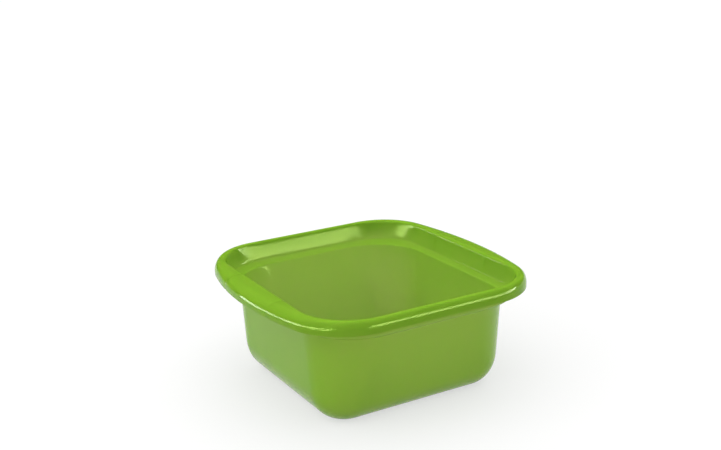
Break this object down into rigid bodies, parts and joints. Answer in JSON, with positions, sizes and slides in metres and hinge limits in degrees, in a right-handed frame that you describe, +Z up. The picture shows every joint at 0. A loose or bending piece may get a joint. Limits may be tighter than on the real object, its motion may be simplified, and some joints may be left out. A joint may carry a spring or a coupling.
{
  "type": "square washing-up bowl",
  "caption": "Square washing-up bowl with rounded corners, an outward ledge, a rolled rim with bowed grips on opposite sides and a flat foot.",
  "frame": {"origin": "middle of the foot ring's underside, on the surface that the bowl stands on", "axes": "+Z up, X across the two bowed grips, Y across the two straight sides"},
  "size_m": [0.32, 0.322, 0.1385],
  "materials": {
    "green_polypropylene": "glossy, as moulded"
  },
  "bodies": {
    "root": {"bowl": "green_polypropylene"}
  },
  "joints": []
}
